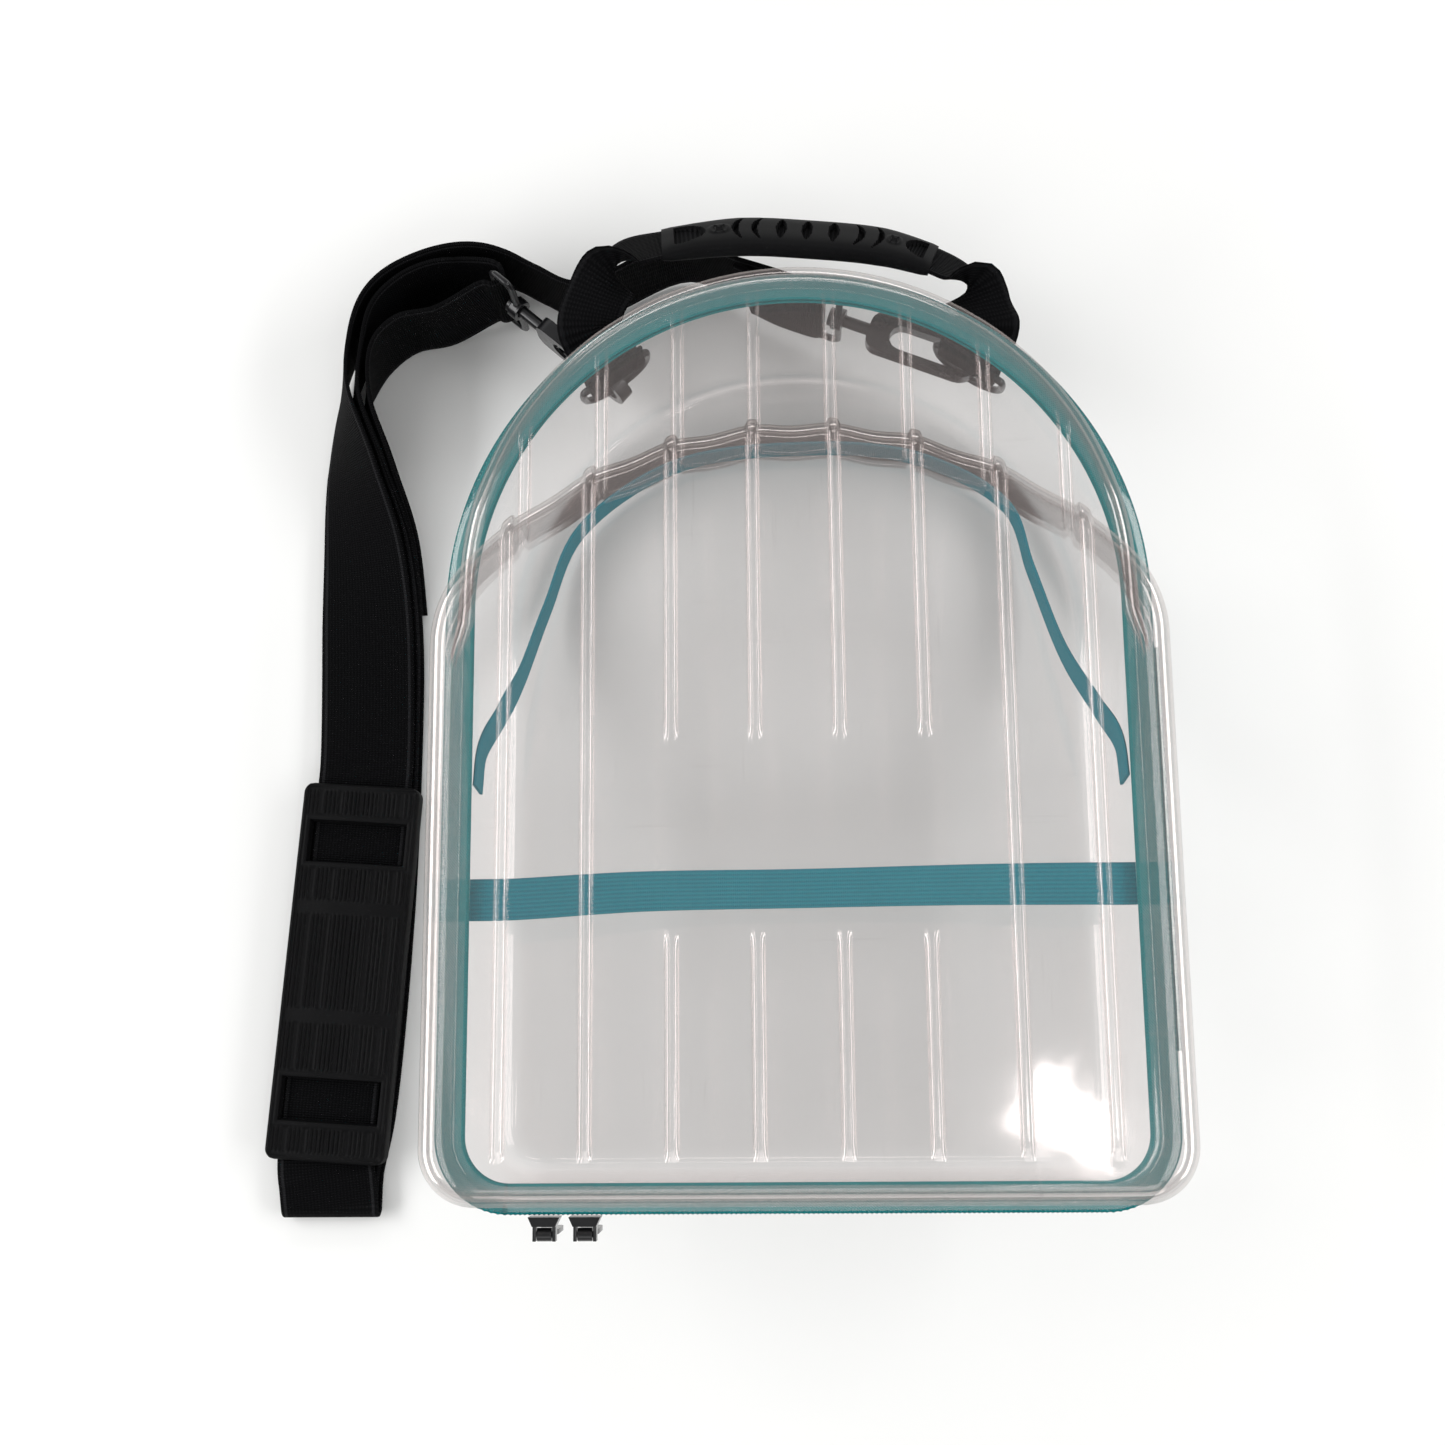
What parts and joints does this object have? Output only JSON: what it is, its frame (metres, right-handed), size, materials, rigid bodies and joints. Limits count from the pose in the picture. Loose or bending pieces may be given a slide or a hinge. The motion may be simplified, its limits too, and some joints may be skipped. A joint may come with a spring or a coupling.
{
  "type": "baseball cap carrier case",
  "caption": "Hard clear zip-up case for baseball caps, with a teal zipper, inner bands, carry handle and clip-on shoulder strap with a pad.",
  "frame": {"origin": "middle of the flat back face that the case lies on", "axes": "+Z out of the front face, +Y towards the handle, +X to the right seen from the front"},
  "size_m": [0.3379, 0.3899, 0.1438],
  "materials": {
    "clear_shell": "gloss",
    "teal_tape": "matte",
    "teal_elastic": "matte",
    "black_webbing": "matte",
    "black_rubber": "satin",
    "black_metal": "gloss"
  },
  "bodies": {
    "case": {"front_shell": "clear_shell", "back_shell": "clear_shell", "zip_tape_front": "teal_tape", "zip_tape_back": "teal_tape", "zip_coil": "teal_tape", "hinge_tape": "teal_tape", "lower_band": "teal_elastic", "upper_band": "teal_elastic", "handle_webbing": "black_webbing", "shoulder_strap": "black_webbing", "handle_grip": "black_rubber", "shoulder_pad": "black_rubber", "zip_slider_a": "black_metal", "zip_slider_b": "black_metal", "d_ring_left": "black_metal", "d_ring_right": "black_metal", "hook_body_left": "black_metal", "hook_eye_left": "black_metal", "hook_body_right": "black_metal", "hook_eye_right": "black_metal"},
    "pull_a": {"zip_pull_a": "black_metal"},
    "pull_b": {"zip_pull_b": "black_metal"},
    "gate": {"hook_gate_left": "black_metal"}
  },
  "joints": [
    {"name": "pull_a_swing", "type": "hinge", "parent": "case", "child": "pull_a", "pos_m": [-0.0895, -0.1778, 0.075], "axis": [-1, 0, 0], "range_deg": [0, 100]},
    {"name": "pull_b_swing", "type": "hinge", "parent": "case", "child": "pull_b", "pos_m": [-0.0755, -0.1778, 0.075], "axis": [-1, 0, 0], "range_deg": [0, 100]},
    {"name": "hook_gate_swing", "type": "hinge", "parent": "case", "child": "gate", "pos_m": [-0.09412, 0.16892, 0.0173], "axis": [-0.66, -0.7513, 0], "range_deg": [0, 20], "stiffness_Nm_per_rad": 0.02}
  ]
}
